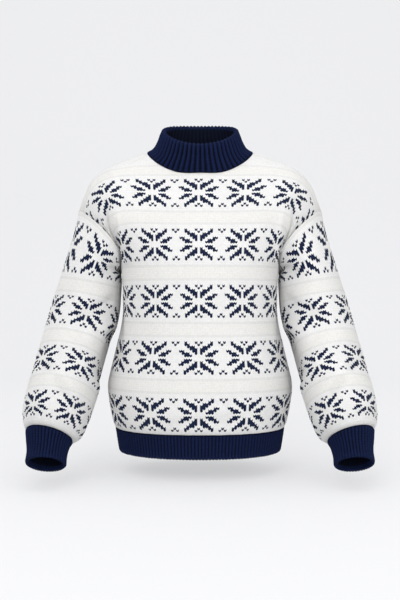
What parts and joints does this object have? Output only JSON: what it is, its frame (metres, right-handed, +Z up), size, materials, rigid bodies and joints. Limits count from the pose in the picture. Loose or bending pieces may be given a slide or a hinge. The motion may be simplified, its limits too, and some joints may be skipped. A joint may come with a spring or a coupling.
{
  "type": "sweater",
  "caption": "Hollow patterned wool sweater with a mock neck, long sleeves and ribbed collar, cuffs and hem, filled out as if worn.",
  "frame": {"origin": "the middle of the neck, level with the neck seam at the sides, where a wearer carries the garment", "axes": "+X towards the wearer's left sleeve, -Y out of the front, +Z up through the neck"},
  "size_m": [0.7014, 0.327, 0.7165],
  "materials": {
    "patterned_wool": "matte stocking-stitch wool, ivory with navy snowflakes",
    "rib_wool": "matte ribbed navy wool"
  },
  "bodies": {
    "root": {"front": "patterned_wool", "back": "patterned_wool", "sleeve_left": "patterned_wool", "sleeve_right": "patterned_wool", "collar": "rib_wool", "cuff_left": "rib_wool", "cuff_right": "rib_wool", "hem_front": "rib_wool", "hem_back": "rib_wool"}
  },
  "joints": []
}
